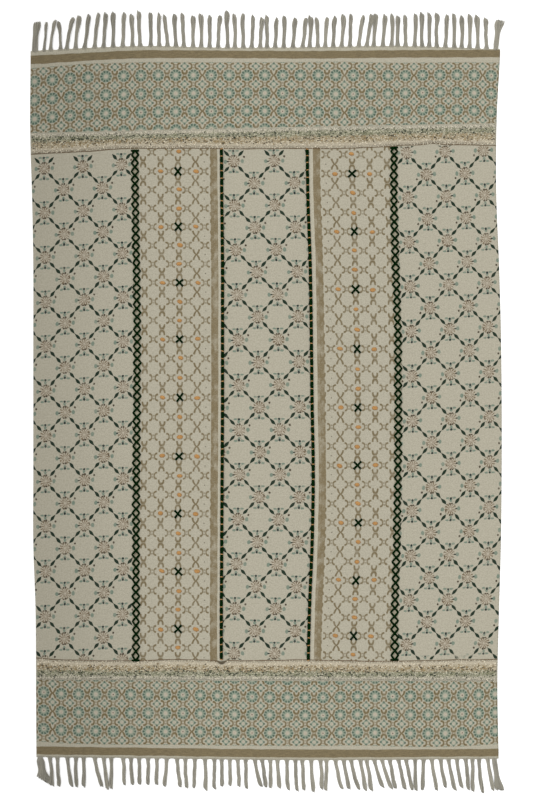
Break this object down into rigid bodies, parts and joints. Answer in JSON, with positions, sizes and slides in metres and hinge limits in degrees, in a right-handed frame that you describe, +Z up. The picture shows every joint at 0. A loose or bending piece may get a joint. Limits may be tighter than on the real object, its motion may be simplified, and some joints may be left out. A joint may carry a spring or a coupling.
{
  "type": "dhurrie rug",
  "caption": "Flat woven cotton floor rug with printed panels, tufted end bands, chain embroidery and fringed ends.",
  "frame": {"origin": "middle of the whole rug's outline, fringes included, on the plane that its underside rests on", "axes": "+X across the rug, +Y along its length towards the end with the longer fringe, +Z up out of its printed face"},
  "size_m": [1.2261, 2.0223, 0.0104],
  "materials": {
    "woven_cotton": "matte woven cotton",
    "pile_yarn": "cut pile yarn",
    "fringe_yarn": "loose twisted cotton yarn",
    "green_yarn": "soft embroidery yarn",
    "gold_thread": "satin stitched thread"
  },
  "bodies": {
    "root": {"rug_cloth": "woven_cotton", "pile_band_top": "pile_yarn", "pile_band_bottom": "pile_yarn", "fringe_top": "fringe_yarn", "fringe_bottom": "fringe_yarn", "chain_row_left": "green_yarn", "chain_row_right": "green_yarn", "couched_cord_left": "green_yarn", "couched_cord_right": "green_yarn"}
  },
  "joints": []
}
